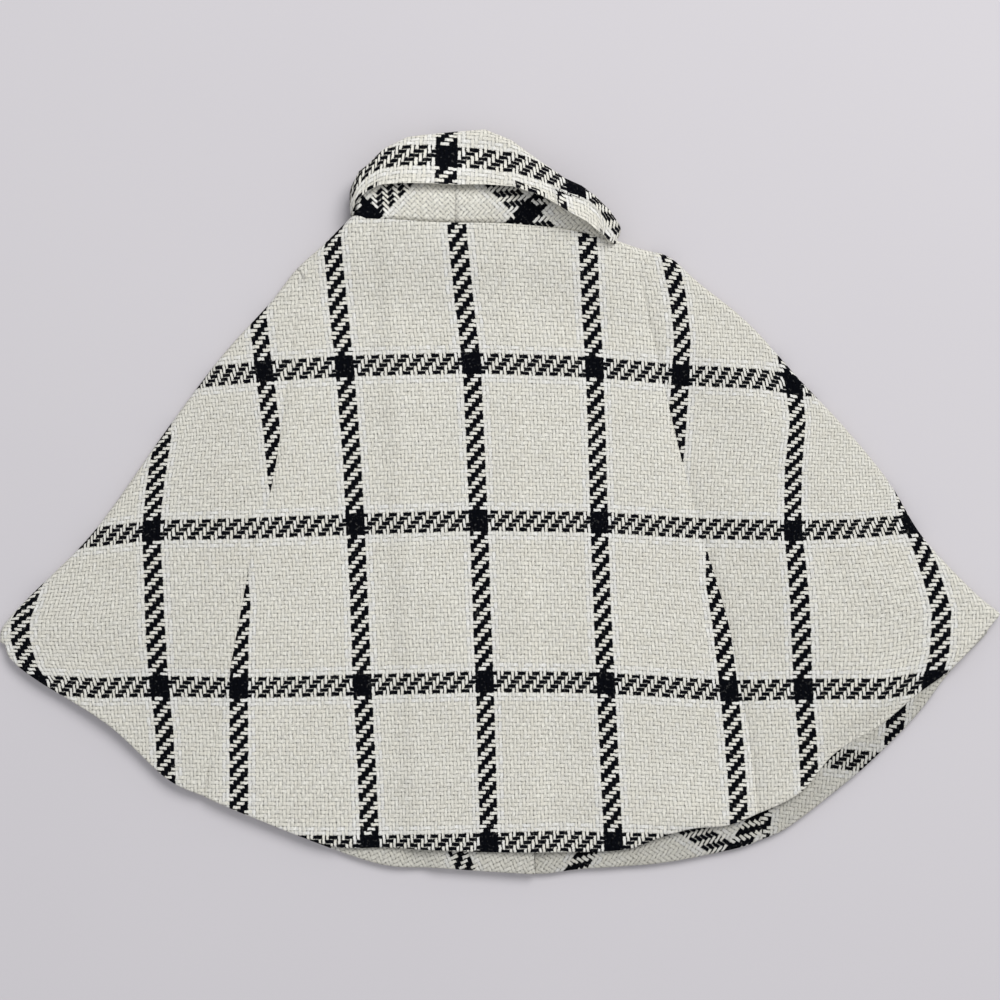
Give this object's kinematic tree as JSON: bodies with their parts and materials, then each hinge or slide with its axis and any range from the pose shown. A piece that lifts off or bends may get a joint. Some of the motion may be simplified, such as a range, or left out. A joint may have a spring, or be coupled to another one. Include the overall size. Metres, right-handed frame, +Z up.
{
  "type": "child's cape coat",
  "caption": "Child's wool cape coat lying face down: flared back and side pieces over lapped fronts, with a rolled collar at the neck.",
  "frame": {"origin": "middle of the footprint, on the surface the coat lies on", "axes": "+X to the right as the back is seen, +Y from the hem to the collar, +Z up from the surface"},
  "size_m": [0.6188, 0.4595, 0.0302],
  "materials": {
    "checked_wool": "chunky cream two-by-two twill with a black windowpane check, matt and slightly hairy",
    "hem_wool": "the same checked wool, turned up inside the hem with its grain on the bias",
    "bias_wool": "the same checked wool cut on the bias, for the under collar",
    "collar_wool": "the same checked wool, one black line along the collar and one across it"
  },
  "bodies": {
    "root": {"back_centre": "checked_wool", "side_left": "checked_wool", "side_right": "checked_wool", "front_left": "checked_wool", "front_right": "checked_wool", "hem_turning_left": "hem_wool", "hem_turning_right": "hem_wool", "hem_turning_side": "hem_wool", "under_collar_left": "bias_wool", "under_collar_right": "bias_wool", "upper_collar": "collar_wool"}
  },
  "joints": []
}
